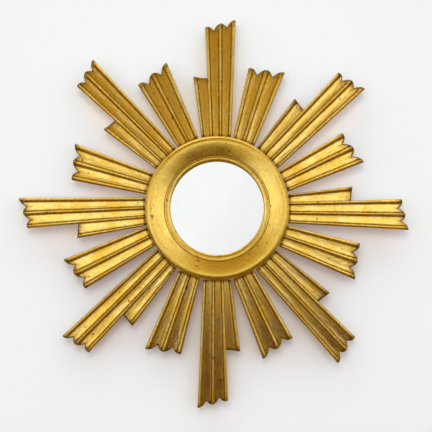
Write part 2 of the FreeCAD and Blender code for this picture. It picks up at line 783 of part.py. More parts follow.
def make_hanger_plate():
    body = new_body("hanger_plate")
    blank = new_sketch(body, "plate_outline", "XY_Plane", PLATE_FACE)
    rounded_rectangle(blank, PLATE_MIDDLE, D["plate_width"], D["plate_height"], D["plate_corner"])
    pad(body, blank, "plate_blank", D["plate_thickness"])
    half = D["knuckle_width"] / 2
    neck = new_sketch(body, "neck_outline", "XY_Plane", PLATE_FACE)
    outline(neck, [
        (-half, PLATE_MIDDLE),
        (half, PLATE_MIDDLE),
        (half, KNUCKLE_HEIGHT),
        (-half, KNUCKLE_HEIGHT),
    ])
    pad(body, neck, "neck", D["plate_thickness"])
    roll = new_sketch(body, "knuckle_section", "YZ_Plane", -half)
    circle_at(roll, KNUCKLE_HEIGHT, KNUCKLE_LEVEL, KNUCKLE_RADIUS)
    pad(body, roll, "knuckle", D["knuckle_width"])
    bore = new_sketch(body, "knuckle_bore_section", "YZ_Plane", -half)
    circle_at(bore, KNUCKLE_HEIGHT, KNUCKLE_LEVEL, KNUCKLE_BORE)
    cut_forward(body, bore, "knuckle_bore")
    for number, side in enumerate(SIDES, start=1):
        across = D["plate_screw_spacing"] * side / 2
        drill_screw_hole(body, f"plate_screw_{number}", HANGER_SCREW, across, PLATE_MIDDLE)
    stand_up(body)


def make_hanger_screws():
    body = new_body("hanger_screws", separate_solids=True)
    for number, side in enumerate(SIDES, start=1):
        across = D["plate_screw_spacing"] * side / 2
        turn_screw(body, f"hanger_screw_{number}", HANGER_SCREW, across, PLATE_MIDDLE)
    stand_up(body)


def make_hanger_ring():
    """A wire bent to a D, with its straight bar in the knuckle."""
    body = new_body("hanger_ring")
    wire = D["wire_radius"]
    side = D["loop_width"] / 2 + wire
    bar = D["knuckle_width"] / 2 + D["bar_room"]
    bend_top = KNUCKLE_HEIGHT + side - bar
    bow = KNUCKLE_HEIGHT + D["loop_height"] + wire * 2 - side
    path = new_sketch(body, "ring_path", "XY_Plane", KNUCKLE_LEVEL)
    points = [
        (-bar, KNUCKLE_HEIGHT),
        (bar, KNUCKLE_HEIGHT),
        (side, bend_top),
        (side, bow),
        (-side, bow),
        (-side, bend_top),
    ]
    arcs = {
        1: ((bar, bend_top), True),
        3: ((ZERO, bow), True),
        5: ((-bar, bend_top), True),
    }
    outline(path, points, arcs)
    section = new_sketch(body, "wire_section", "YZ_Plane")
    circle_at(section, KNUCKLE_HEIGHT, KNUCKLE_LEVEL, wire)
    feature = body.newObject("PartDesign::AdditivePipe", "bent_wire")
    feature.Profile = section
    feature.Spine = path
    stand_up(body)


# Building and writing

def make_all():
    make_ring_frame()
    make_mirror_glass()
    make_disc("backing_card", GLASS_RADIUS, CARD_BACK, D["card_thickness"])
    make_glazing_pins()
    make_hub_board()
    make_rays()
    make_screw_circle("clamp_screws", CLAMP, CLAMP_CIRCLE, RAYS * 2)
    make_screw_circle("ray_screws", RAY_SCREW, RAY_SCREW_CIRCLE, RAYS * 2, D["ray_screw_step_angle"])
    make_back_cover()
    make_screw_circle("cover_screws", COVER_SCREW, COVER_SCREW_CIRCLE, COVER_SCREWS)
    make_hanger_plate()
    make_hanger_ring()
    make_hanger_screws()
    doc.recompute()


def check_all(pieces):
    for item in doc.Objects:
        if "Invalid" in item.State or "Error" in item.State:
            raise RuntimeError(f"{item.Label} failed: {item.State}")
    for piece in pieces:
        if piece.Shape.isNull() or not piece.Shape.isValid():
            raise RuntimeError(f"{piece.Label} has no valid shape")


def write_all(pieces):
    os.makedirs("parts", exist_ok=True)
    for piece in pieces:
        piece.Shape.exportStep(f"parts/{piece.Label}.step")


make_all()
bodies = [item for item in doc.Objects if item.TypeId == "PartDesign::Body"]
check_all(bodies)
write_all(bodies)
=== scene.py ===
import math

import bpy
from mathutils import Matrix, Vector, noise


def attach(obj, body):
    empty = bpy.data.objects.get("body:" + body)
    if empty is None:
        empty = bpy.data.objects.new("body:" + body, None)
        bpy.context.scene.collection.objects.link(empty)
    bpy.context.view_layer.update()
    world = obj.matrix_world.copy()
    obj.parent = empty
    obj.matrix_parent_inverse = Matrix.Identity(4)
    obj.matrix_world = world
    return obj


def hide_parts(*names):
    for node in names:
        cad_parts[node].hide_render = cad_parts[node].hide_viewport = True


# A gilt sunburst mirror on a pale wall. The carved rays and the turned ring are finer meshes in the place of
# their solids, and the glass, hub, cover, screws and hanger are the solids with their own materials. Lengths
# are in metres. A ray is drawn along its own middle line on a bench, with its height towards the viewer, and
# then turned and stood against the wall.

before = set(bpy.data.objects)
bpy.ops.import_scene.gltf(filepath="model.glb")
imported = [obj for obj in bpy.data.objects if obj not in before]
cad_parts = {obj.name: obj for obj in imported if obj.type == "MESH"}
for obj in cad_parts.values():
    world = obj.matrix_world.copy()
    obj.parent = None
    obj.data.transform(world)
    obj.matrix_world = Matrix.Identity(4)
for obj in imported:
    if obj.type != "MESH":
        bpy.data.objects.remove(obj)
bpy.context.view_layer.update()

MM = 0.001

# Levels above the wall
HUB_FRONT = 18 * MM
RAY_TOP = 33 * MM
GLASS_FRONT = 34.4 * MM

# Ring frame
RING_RADIUS = 111 * MM
RIM_WIDTH = 6.0 * MM
RIM_SIDE = 5.2 * MM
RIM_CROWN = 5.4 * MM
CUSHION_HEIGHT = 11.5 * MM
CUSHION_ROUND = 1.2 * MM
SHOULDER_DROP = 0.3 * MM
CUSHION_FALL = 3.8 * MM
CUSHION_TURN = 2.5 * MM
CUSHION_LEAN = math.tan(math.radians(7))
CUSHION_STEPS = 30
CUSHION_CROWDING = 1.4
BEAD_WIDTH = 3.6 * MM
BEAD_BASE = 5.6 * MM
SIGHT_RADIUS = 71.4 * MM
SIGHT_WIDTH = 6.4 * MM
SIGHT_EDGE = 2.6 * MM
LIP_STEP = 0.6 * MM
REBATE_RADIUS = 76 * MM
SKIRT_RADIUS = 80.5 * MM

# Rays
RAYS = 8
PITCH = math.tau / RAYS
ROOT_RADIUS = 81 * MM
FLUTE_DEPTH = 3.6 * MM
JOINT_GAP = 0.3 * MM
SPLIT_AFTER = math.radians(13.6)
SPLIT_BEFORE = math.radians(11.5)
SHORT_SKEW = math.radians(4.3)
LONG = {"reach": 299 * MM, "width": 47.6 * MM, "flare": math.radians(2.4), "offset": 5.4 * MM,
        "slant": math.radians(13.4), "notch": 7.6 * MM}
SHORT = {"reach": 237.3 * MM, "width": 56.2 * MM, "flare": math.radians(5), "offset": 7.5 * MM,
         "slant": math.radians(10.2), "notch": 9.2 * MM}
LOBE_SETBACK = 87.3 * MM
LOBE_WIDTH = 21.7 * MM
LOBE_FLARE = math.radians(7.8)
LOBE_SLANT = math.radians(5.7)
LONG_TURN_ANGLES = [-0.8, -0.4, 0.1, 0.4, 2.5, -0.1, -0.2, -1.5]
LONG_REACH_SHARES = [0.987, 0.973, 0.969, 0.992, 1.017, 1.029, 1.027, 1.006]
SHORT_TURN_ANGLES = [-0.7, 0.4, 0.9, 2.2, -0.2, -0.6, -1.4, -0.6]
SHORT_REACH_SHARES = [0.986, 0.972, 0.989, 1.001, 1.039, 1.013, 1.009, 0.993]

# Carving across a ray's half width: middles and half widths of the ridges, and the flute in its depth
MIDDLE_RIDGE_SHARE = 0.15
SIDE_RIDGE_PLACE_SHARE = 0.87
SIDE_RIDGE_SHARE = 0.15
FLOOR_SAG_SHARE = 0.05
EDGE_DROP_SHARE = 0.6
NOTCH_MOUTH_SHARES = (0.115, 0.435, 0.755)
RIDGE_ROUNDING = 1.8

# Carving across a lobe
LOBE_RIDGE_PLACE_SHARE = 0.8775
LOBE_RIDGE_SHARE = 0.17


# Shader nodes

def new_material(name):
    material = bpy.data.materials.new(name)
    material.use_nodes = True
    tree = material.node_tree
    return material, tree, tree.nodes["Principled BSDF"]


def add_node(tree, kind, inputs=None, **settings):
    """A node with its settings, and each input given as a value or as another node's socket."""
    node = tree.nodes.new(kind)
    for name, value in settings.items():
        setattr(node, name, value)
    for name, value in (inputs or {}).items():
        connect(tree, value, node.inputs[name])
    return node


def connect(tree, value, socket):
    if isinstance(value, bpy.types.NodeSocket):
        tree.links.new(value, socket)
    else:
        socket.default_value = value


def attribute(tree, name):
    return add_node(tree, "ShaderNodeAttribute", attribute_name=name)


def noise_value(tree, vector, scale, detail=4.0, roughness=0.55):
    node = add_node(tree, "ShaderNodeTexNoise",
                    {"Vector": vector, "Scale": scale, "Detail": detail, "Roughness": roughness})
    return node.outputs["Fac"]


def stretched_noise(tree, vector, scales, detail=4.0, roughness=0.55):
    """Noise with a scale of its own along each axis."""
    place = add_node(tree, "ShaderNodeMapping", {"Vector": vector, "Scale": scales}, vector_type="POINT")
    return noise_value(tree, place.outputs["Vector"], 1.0, detail, roughness)


def math_node(tree, operation, first, second=0.0, clamp=False):
    node = add_node(tree, "ShaderNodeMath", {0: first, 1: second}, operation=operation, use_clamp=clamp)
    return node.outputs["Value"]


def squared(tree, value):
    return math_node(tree, "MULTIPLY", value, value)


def plus_share(tree, value, extra, share):
    """A value with a share of another added to it."""
    return math_node(tree, "ADD", value, math_node(tree, "MULTIPLY", extra, share))


def mean_of(tree, first, second, first_share):
    """The mean of two values, in which the first has a share."""
    return plus_share(tree, math_node(tree, "MULTIPLY", first, first_share), second, 1 - first_share)


def span(tree, value, low, high, to_low=0.0, to_high=1.0):
    """The value's part of the way from low to high, held at both ends."""
    node = add_node(tree, "ShaderNodeMapRange", {"Value": value, "From Min": low, "From Max": high,
                                                 "To Min": to_low, "To Max": to_high})
    return node.outputs["Result"]


def blend_colours(tree, factor, first, second):
    node = add_node(tree, "ShaderNodeMix", {"Factor": factor}, data_type="RGBA")
    connect(tree, first, node.inputs[6])
    connect(tree, second, node.inputs[7])
    return node.outputs[2]


def part_of(tree, vector, axis):
    """One of the three numbers of a vector."""
    return add_node(tree, "ShaderNodeSeparateXYZ", {"Vector": vector}).outputs[axis]


def bump(tree, height, strength, distance):
    node = add_node(tree, "ShaderNodeBump", {"Height": height, "Strength": strength, "Distance": distance})
    return node.outputs["Normal"]


# Gilding, with its own grain that runs along each ray and round the ring. Scales are features per metre, and
# a range is the part of the noise over which a mark comes in.

RAY_LEAF = ((1.0, 0.74, 0.17, 1), (0.92, 0.56, 0.05, 1))
RING_LEAF = ((1.0, 0.73, 0.10, 1), (0.95, 0.58, 0.03, 1))
GRIT = (0.36, 0.165, 0.006, 1)
BOLE = (0.27, 0.115, 0.008, 1)
UMBER = (0.075, 0.033, 0.003, 1)
NOISE_MIDDLE = 0.5
NOISE_RANGE = (0.3, 0.7)
CLOUD_SCALE = 34.0
PATCH_SCALE = 230.0
FINE_SCALE = 850.0
SPOT_SCALE = 120.0
STREAK_SCALES = (45.0, 900.0, 45.0)
TOOL_MARK_SCALES = (1000.0, 90.0, 90.0)
GRIT_RANGE = (0.52, 0.74)
STREAK_RANGE = (0.56, 0.74)
SPOT_RANGE = (0.66, 0.72)
RUB_RANGE = (0.36, 0.64)
DIRT_RANGE = (0.30, 0.62)
CLOUD_SHARE = 0.6
GRIT_SHARE = 0.7
SPOT_SHARE = 0.8
LEAST_RUB_SHARE = 0.35
LEAST_DIRT_SHARE = 0.7
RUB_COVER_SHARE = 0.5
DIRT_METAL_SHARE = 0.75
TOOL_MARK_SHARE = 0.5
SATIN_SPREAD = 0.08
COVER_DULL_SHARE = 0.25
GRIT_DULL_SHARE = 0.12
LEAF_SPECULAR = 0.1
LACQUER_ROUGHNESS = 0.12
GILT_BUMP = {"strength": 0.5, "distance": 0.2 * MM}


def gilt_material(name, leaf_colours, satin, tone_range, lacquer):
    """Worn leaf: toned gold with a fine grit, dark patina in the grooves, the groove mark also darkening the
    rays' ends and backs and painting shade where they run under the ring, and red-brown bole on the crests.
    satin is the least roughness, tone_range the spread of the mottle from the one gold to the other, and
    lacquer the weight of the clear coat."""
    material, tree, shader = new_material(name)
    grain = attribute(tree, "grain").outputs["Vector"]
    crest = attribute(tree, "crest").outputs["Fac"]
    groove = attribute(tree, "groove").outputs["Fac"]
    cloud = noise_value(tree, grain, CLOUD_SCALE)
    patch = noise_value(tree, grain, PATCH_SCALE, detail=3.0)
    fine = noise_value(tree, grain, FINE_SCALE, detail=2.0)
    specks = noise_value(tree, grain, SPOT_SCALE, detail=2.0)
    streak = stretched_noise(tree, grain, STREAK_SCALES, detail=3.0, roughness=0.6)
    tool_marks = stretched_noise(tree, grain, TOOL_MARK_SCALES, detail=2.0)

    tone = mean_of(tree, cloud, patch, CLOUD_SHARE)
    second_leaf = span(tree, tone, NOISE_MIDDLE - tone_range, NOISE_MIDDLE + tone_range)
    leaf = blend_colours(tree, second_leaf, *leaf_colours)
    gritty = math_node(tree, "MAXIMUM", span(tree, fine, *GRIT_RANGE, 0.0, GRIT_SHARE),
                       span(tree, streak, *STREAK_RANGE, 0.0, GRIT_SHARE))
    dusty = blend_colours(tree, gritty, leaf, GRIT)
    spot = span(tree, specks, *SPOT_RANGE, 0.0, SPOT_SHARE)
    rub_patches = span(tree, patch, *RUB_RANGE, LEAST_RUB_SHARE, 1.0)
    rubbed = math_node(tree, "MULTIPLY", crest, rub_patches, clamp=True)
    worn = blend_colours(tree, math_node(tree, "MAXIMUM", rubbed, spot), dusty, BOLE)
    # The groove mark is patina, and on the rays also painted shade where they run under the ring
    dirt_patches = span(tree, patch, *DIRT_RANGE, LEAST_DIRT_SHARE, 1.0)
    dirt_and_painted_shade = math_node(tree, "MULTIPLY", groove, dirt_patches, clamp=True)
    connect(tree, blend_colours(tree, dirt_and_painted_shade, worn, UMBER), shader.inputs["Base Color"])
    shader.inputs["Specular IOR Level"].default_value = LEAF_SPECULAR
    shader.inputs["Coat Weight"].default_value = lacquer
    shader.inputs["Coat Roughness"].default_value = LACQUER_ROUGHNESS

    cover = math_node(tree, "MAXIMUM", dirt_and_painted_shade, math_node(tree, "MULTIPLY", rubbed, RUB_COVER_SHARE))
    connect(tree, span(tree, cover, 0.0, 1.0, 1.0, DIRT_METAL_SHARE), shader.inputs["Metallic"])
    leaf_rough = span(tree, cloud, *NOISE_RANGE, satin, satin + SATIN_SPREAD)
    worn_rough = plus_share(tree, leaf_rough, cover, COVER_DULL_SHARE)
    connect(tree, plus_share(tree, worn_rough, gritty, GRIT_DULL_SHARE), shader.inputs["Roughness"])
    relief = mean_of(tree, tool_marks, fine, TOOL_MARK_SHARE)
    connect(tree, bump(tree, relief, **GILT_BUMP), shader.inputs["Normal"])
    return material


OCHRE_WASH = ((0.30, 0.17, 0.065, 1), (0.40, 0.25, 0.11, 1))
OCHRE_FIBRE = (0.13, 0.07, 0.03, 1)
WASH_SCALE = 22.0
WASH_RANGE = (0.35, 0.65)
SAWN_SCALES = (18.0, 500.0, 500.0)
SAWN_RANGE = (0.42, 0.70)
SAWN_SHARE = 0.7
SAWN_ROUGHNESS = (0.6, 0.85)
SAWN_BUMP = {"strength": 0.5, "distance": 0.3 * MM}


def back_wood_material():
    """The sawn back of the rays, brushed with thin ochre."""
    material, tree, shader = new_material("ochre_back")
    grain = attribute(tree, "grain").outputs["Vector"]
    fibre = stretched_noise(tree, grain, SAWN_SCALES, detail=6.0, roughness=0.6)
    cloud = noise_value(tree, grain, WASH_SCALE)
    wash = blend_colours(tree, span(tree, cloud, *WASH_RANGE), *OCHRE_WASH)
    colour = blend_colours(tree, span(tree, fibre, *SAWN_RANGE, 0.0, SAWN_SHARE), wash, OCHRE_FIBRE)
    connect(tree, colour, shader.inputs["Base Color"])
    connect(tree, span(tree, fibre, *NOISE_RANGE, *SAWN_ROUGHNESS), shader.inputs["Roughness"])
    connect(tree, bump(tree, fibre, **SAWN_BUMP), shader.inputs["Normal"])
    return material


# Materials of the solids that stay

SILVER = ((0.93, 0.94, 0.935, 1), (0.90, 0.915, 0.91, 1))
SMEAR_SCALES = (40.0, 1.0, 14.0)
SMEAR_RANGE = (0.35, 0.75)
SMEAR_ROUGHNESS = (0.008, 0.03)

BIRCH_FACE = ((0.62, 0.43, 0.25, 1), (0.44, 0.28, 0.14, 1))
BIRCH_EDGE = ((0.30, 0.18, 0.09, 1), (0.60, 0.43, 0.26, 1))
BIRCH_SCALES = (30.0, 30.0, 420.0)
BIRCH_RANGE = (0.35, 0.7)
BIRCH_ROUGHNESS = (0.55, 0.75)
BIRCH_BUMP = {"strength": 0.4, "distance": 0.2 * MM}
PLY_PAIR = 3.4 * MM
PLY_RANGE = (-0.4, 0.4)
FACING_RANGE = (0.5, 0.8)

CARD = ((0.42, 0.34, 0.25, 1), (0.30, 0.23, 0.16, 1))
CARD_SCALE = 900.0
COVER_BOARD = ((0.27, 0.16, 0.085, 1), (0.15, 0.085, 0.045, 1))
COVER_BOARD_SCALE = 700.0
BOARD_MOTTLE_STEP = 25
BOARD_FIBRE_SHARE = 0.6
BOARD_RANGE = (0.38, 0.62)
BOARD_ROUGHNESS = (0.5, 0.75)
BOARD_BUMP = {"strength": 0.3, "distance": 0.15 * MM}

STEEL = ((0.62, 0.61, 0.58, 1), (0.40, 0.39, 0.37, 1))
STEEL_ROUGHNESS = (0.28, 0.45)
BRASS = ((0.78, 0.57, 0.24, 1), (0.45, 0.30, 0.12, 1))
BRASS_ROUGHNESS = (0.26, 0.42)
HANDLING_SCALE = 260.0
HANDLING_RANGE = (0.35, 0.68)
SCRATCH_SCALES = (1800.0, 1800.0, 160.0)
SCRATCH_BUMP = {"strength": 0.15, "distance": 0.05 * MM}


def place_of(tree):
    return add_node(tree, "ShaderNodeTexCoord").outputs["Object"]


def mirror_material():
    """Silvered glass with faint cleaning smears."""
    material, tree, shader = new_material("mirror_glass")
    smear = stretched_noise(tree, place_of(tree), SMEAR_SCALES, detail=3.0)
    tint = blend_colours(tree, span(tree, smear, *NOISE_RANGE), *SILVER)
    connect(tree, tint, shader.inputs["Base Color"])
    shader.inputs["Metallic"].default_value = 1.0
    connect(tree, span(tree, smear, *SMEAR_RANGE, *SMEAR_ROUGHNESS), shader.inputs["Roughness"])
    return material


def plywood_material():
    """Birch face grain, with the plies showing on the edges."""
    material, tree, shader = new_material("plywood")
    place = place_of(tree)
    fibre = stretched_noise(tree, place, BIRCH_SCALES, detail=6.0, roughness=0.6)
    face = blend_colours(tree, span(tree, fibre, *BIRCH_RANGE), *BIRCH_FACE)
    turn = math_node(tree, "MULTIPLY", part_of(tree, place, "Y"), math.tau / PLY_PAIR)
    edge = blend_colours(tree, span(tree, math_node(tree, "SINE", turn), *PLY_RANGE), *BIRCH_EDGE)
    normal = add_node(tree, "ShaderNodeNewGeometry").outputs["True Normal"]
    facing = math_node(tree, "ABSOLUTE", part_of(tree, normal, "Y"))
    colour = blend_colours(tree, span(tree, facing, *FACING_RANGE), edge, face)
    connect(tree, colour, shader.inputs["Base Color"])
    connect(tree, span(tree, fibre, *NOISE_RANGE, *BIRCH_ROUGHNESS), shader.inputs["Roughness"])
    connect(tree, bump(tree, fibre, **BIRCH_BUMP), shader.inputs["Normal"])
    return material


def board_material(name, colours, fibre_scale):
    """Pressed board or card: short fibres over a soft mottle."""
    material, tree, shader = new_material(name)
    place = place_of(tree)
    fibre = noise_value(tree, place, fibre_scale, detail=6.0, roughness=0.7)
    mottle = noise_value(tree, place, fibre_scale / BOARD_MOTTLE_STEP)
    tone = mean_of(tree, fibre, mottle, BOARD_FIBRE_SHARE)
    connect(tree, blend_colours(tree, span(tree, tone, *BOARD_RANGE), *colours), shader.inputs["Base Color"])
    connect(tree, span(tree, fibre, *NOISE_RANGE, *BOARD_ROUGHNESS), shader.inputs["Roughness"])
    connect(tree, bump(tree, fibre, **BOARD_BUMP), shader.inputs["Normal"])
    return material


def metal_material(name, colours, roughness):
    """Metal with handling marks: a mottle in its colour and scratches in its gloss."""
    material, tree, shader = new_material(name)
    place = place_of(tree)
    mottle = noise_value(tree, place, HANDLING_SCALE, detail=5.0, roughness=0.6)
    scratch = stretched_noise(tree, place, SCRATCH_SCALES, detail=3.0)
    tint = blend_colours(tree, span(tree, mottle, *HANDLING_RANGE), *colours)
    connect(tree, tint, shader.inputs["Base Color"])
    shader.inputs["Metallic"].default_value = 1.0
    connect(tree, span(tree, scratch, *NOISE_RANGE, *roughness), shader.inputs["Roughness"])
    connect(tree, bump(tree, scratch, **SCRATCH_BUMP), shader.inputs["Normal"])
    return material


def dress(node, material):
    """Gives a solid its finished material."""
    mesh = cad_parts[node].data
    mesh.materials.clear()
    mesh.materials.append(material)


# Carved rays

def smooth_noise(*place):
    return noise.noise(Vector(place))


def ridge_fall(distance, reach):
    """How far the carving has fallen at a distance from a ridge: round on top and crisp at the foot."""
    return min(distance / reach, 1.0) ** RIDGE_ROUNDING


def flute_depth_share(across):
    """Depth of the carving across a ray, from -1 to 1, as a share of the flute's depth."""
    place = abs(across)
    foot = SIDE_RIDGE_PLACE_SHARE - SIDE_RIDGE_SHARE
    wall = 1 - FLOOR_SAG_SHARE
    if place < MIDDLE_RIDGE_SHARE:
        return wall * ridge_fall(place, MIDDLE_RIDGE_SHARE)
    if place < foot:
        half = (foot - MIDDLE_RIDGE_SHARE) / 2
        middle = MIDDLE_RIDGE_SHARE + half
        return wall + FLOOR_SAG_SHARE * (1 - ((place - middle) / half) ** 2)
    if place < SIDE_RIDGE_PLACE_SHARE:
        return wall * ridge_fall(SIDE_RIDGE_PLACE_SHARE - place, SIDE_RIDGE_SHARE)
    return EDGE_DROP_SHARE * ridge_fall(place - SIDE_RIDGE_PLACE_SHARE, 1 - SIDE_RIDGE_PLACE_SHARE)


def lobe_depth_share(across):
    """Depth of the carving across a lobe, from 0 beside the ray to 1."""
    foot = LOBE_RIDGE_PLACE_SHARE - LOBE_RIDGE_SHARE
    wall = 1 - FLOOR_SAG_SHARE
    if across < foot:
        return wall + FLOOR_SAG_SHARE * (1 - (2 * across / foot - 1) ** 2)
    if across < LOBE_RIDGE_PLACE_SHARE:
        return wall * ridge_fall(LOBE_RIDGE_PLACE_SHARE - across, LOBE_RIDGE_SHARE)
    return EDGE_DROP_SHARE * ridge_fall(across - LOBE_RIDGE_PLACE_SHARE, 1 - LOBE_RIDGE_PLACE_SHARE)


def near(distance, width):
    """1 at no distance, falling off over the width."""
    return math.exp(-(distance / width) ** 2)


def spread(stops, counts):
    """Values from stop to stop, with a count of steps between each two."""
    values = [stops[0]]
    for start, end, count in zip(stops, stops[1:], counts):
        values += [start + (end - start) * step / count for step in range(1, count + 1)]
    return values


# Steps between the lines of the carving, across a ray and a lobe and along both
RAY_COLUMN_COUNTS = [5, 2, 6, 6, 2, 5, 4]
LOBE_COLUMN_COUNTS = [10, 7, 4]
ROW_COUNTS = [3, 15, 34, 16, 12]
ROW_STOP_SHARES = [0, 0.12, 0.23, 0.84, 0.955, 1]
ROW_SHARES = spread(ROW_STOP_SHARES, ROW_COUNTS)
BACK_ROWS = sum(ROW_COUNTS[:3])


def ray_columns():
    """The lines of points along a ray, as shares across it from -1 to 1."""
    near_mouth, apex, far_mouth = NOTCH_MOUTH_SHARES
    foot = SIDE_RIDGE_PLACE_SHARE - SIDE_RIDGE_SHARE
    stops = [0, near_mouth, MIDDLE_RIDGE_SHARE, apex, foot, far_mouth, SIDE_RIDGE_PLACE_SHARE, 1]
    side = spread(stops, RAY_COLUMN_COUNTS)
    return [-value for value in reversed(side[1:])] + side


def lobe_columns():
    """The lines of points along a lobe, as shares across it from 0 to 1."""
    foot = LOBE_RIDGE_PLACE_SHARE - LOBE_RIDGE_SHARE
    return spread([0, foot, LOBE_RIDGE_PLACE_SHARE, 1], LOBE_COLUMN_COUNTS)


# Worn ends, rubbed ridges and dirt, darkening at the ends and towards the back, and painted shade under the
# ring
TIP_ROUND = 1.6 * MM
TIP_ROUND_LENGTH = 3 * MM
KNOB_LENGTH = 11 * MM
NOTCH_CURVE = 1.9
RUB_WIDTH = 1.3 * MM
RIDGE_RUB_SHARE = 0.45
DIRT_WIDTH = 1.05 * MM
SLIM_SHARE = 0.92
END_RUB = 8 * MM
# A narrow darkening at a ray's very end
END_DARKENING = 2.5 * MM
END_DARKENING_SHARE = 0.8
# Painted shade where a ray runs in under the ring
CORNER_SHADE_WIDTH = 2.6 * MM
CORNER_SHADE_SHARE = 0.85
# Side walls and ends grow darker towards the flat back
BACK_DARKENING_SHARE = 0.35

# The carver's hand: a slow waver and small facets in depth, and a swing of the lines to the side. Scales are
# along and across a ray, and a seed tells one kind of noise from another.
WAVER = 0.10 * MM
WAVER_SCALES = (22, 3)
FACET = 0.05 * MM
FACET_SCALES = (130, 9)
FACET_SEED = 7
SWING_SHARE = 0.02
SWING_SCALES = (14, 0.7)
SWING_SEED = 3.5
LOBE_NOISE_PLACE = 2
SEED_STEP = 2.3
SHORT_SEED = 31

# Edges that turn by more than this stay crisp
SHARP_ANGLE = math.radians(50)


class Ray:
    """One ray's outline in its own frame: its middle line, sides, end and the joints at its root."""

    def __init__(self, kind, lean, reach_share, joints, seed):
        self.kind = kind
        self.reach = kind["reach"] * reach_share
        self.tip_half = kind["width"] / 2
        self.slopes = [math.tan(joint - lean) for joint in joints]
        self.gaps = [JOINT_GAP / 2 / math.cos(joint - lean) for joint in joints]
        self.seed = seed

    def half(self, along):
        return self.tip_half - math.tan(self.kind["flare"]) * (self.reach - along)

    def depth(self, along):
        return FLUTE_DEPTH * self.half(along) / self.tip_half

    def low_side(self, along):
        return max(-self.half(along) - self.kind["offset"], self.slopes[0] * along + self.gaps[0])

    def bar_side(self, along):
        return self.half(along) - self.kind["offset"]

    def high_side(self, along):
        return min(self.bar_side(along), self.slopes[1] * along - self.gaps[1])

    def end(self, across):
        """Where the ray ends on the line at a share across, with the notch of each flute."""
        fall = math.tan(self.kind["slant"])
        near_mouth, apex, far_mouth = NOTCH_MOUTH_SHARES
        place = abs(across)
        if place < apex:
            share = max(0.0, place - near_mouth / 2) / (apex - near_mouth / 2)
        else:
            share = max(0.0, far_mouth + near_mouth / 2 - place) / (far_mouth + near_mouth / 2 - apex)
        notch = self.kind["notch"] * share ** NOTCH_CURVE
        return self.reach - fall * self.tip_half * (across + 1) - notch

    def lobe_corner(self):
        return self.reach - LOBE_SETBACK

    def lobe_side(self, along):
        corner_side = self.bar_side(self.lobe_corner()) + LOBE_WIDTH
        straight = corner_side - math.tan(LOBE_FLARE) * (self.lobe_corner() - along)
        return min(straight, self.slopes[1] * along - self.gaps[1])

    def lobe_end(self, across):
        return self.lobe_corner() - math.tan(LOBE_SLANT) * LOBE_WIDTH * (1 - across)

    def unevenness(self, along, across):
        """Hand carving: the depth of a gouge's waver at a place, never above the blank."""
        along_waver, across_waver = WAVER_SCALES
        along_facet, across_facet = FACET_SCALES
        waver = smooth_noise(along * along_waver, across * across_waver, self.seed)
        facet = smooth_noise(along * along_facet, across * across_facet, self.seed + FACET_SEED)
        return WAVER * (1 + waver) + FACET * (1 + facet)


def tip_drop(from_end):
    """How far the worn end has rounded over, at a distance from it."""
    share = max(0.0, 1 - from_end / TIP_ROUND_LENGTH)
    return TIP_ROUND * share ** 2


def slimmed(across, from_end):
    """Where a line of the carving runs: the ridges are slim along the ray and widen into a knob at its
    end."""
    place = abs(across)
    slim = SLIM_SHARE + (1 - SLIM_SHARE) * near(from_end, KNOB_LENGTH)
    foot = SIDE_RIDGE_PLACE_SHARE - SIDE_RIDGE_SHARE
    slim_middle = MIDDLE_RIDGE_SHARE * slim
    slim_foot = SIDE_RIDGE_PLACE_SHARE - SIDE_RIDGE_SHARE * slim
    if place < MIDDLE_RIDGE_SHARE:
        place *= slim
    elif place < foot:
        share = (place - MIDDLE_RIDGE_SHARE) / (foot - MIDDLE_RIDGE_SHARE)
        place = slim_middle + (slim_foot - slim_middle) * share
    elif place < SIDE_RIDGE_PLACE_SHARE:
        place = SIDE_RIDGE_PLACE_SHARE - (SIDE_RIDGE_PLACE_SHARE - place) * slim
    return math.copysign(place, across)


def end_darkening_and_corner_shade(along, end):
    """Darkening at a ray's end, and painted shade in its corner with the ring, where the ring shades it."""
    corner = max(0.0, along - RING_RADIUS)
    return END_DARKENING_SHARE * near(end - along, END_DARKENING) + CORNER_SHADE_SHARE * near(corner, CORNER_SHADE_WIDTH)


def bar_point(ray, lobed, row_share, across):
    """A point of a ray's carved top, how rubbed it is, and how darkened it is by dirt and painted shade."""
    end = ray.end(across)
    along = ROOT_RADIUS + (end - ROOT_RADIUS) * row_share
    low = ray.low_side(along)
    high = ray.bar_side(along) if lobed else ray.high_side(along)
    along_swing, across_swing = SWING_SCALES
    swing = smooth_noise(along * along_swing, ray.seed + SWING_SEED, across * across_swing)
    line = slimmed(across, end - along) + SWING_SHARE * swing * (1 - across * across)
    cut = ray.depth(along) * flute_depth_share(across)
    drop = cut + ray.unevenness(along, across) + tip_drop(end - along)
    point = (along, low + (high - low) * (line + 1) / 2, RAY_TOP - drop)
    place = abs(across)
    foot = SIDE_RIDGE_PLACE_SHARE - SIDE_RIDGE_SHARE
    half = ray.half(along)
    rubbed = RUB_WIDTH / half
    dirty = DIRT_WIDTH / half
    crest = RIDGE_RUB_SHARE * (near(place, rubbed) + near(place - SIDE_RIDGE_PLACE_SHARE, rubbed))
    # The groove mark also darkens both outer edges of the top, over half the width
    groove = near(place - MIDDLE_RIDGE_SHARE, dirty) + near(place - foot, dirty) + near(1 - place, dirty / 2)
    return point, crest + near(end - along, END_RUB), groove + end_darkening_and_corner_shade(along, end)


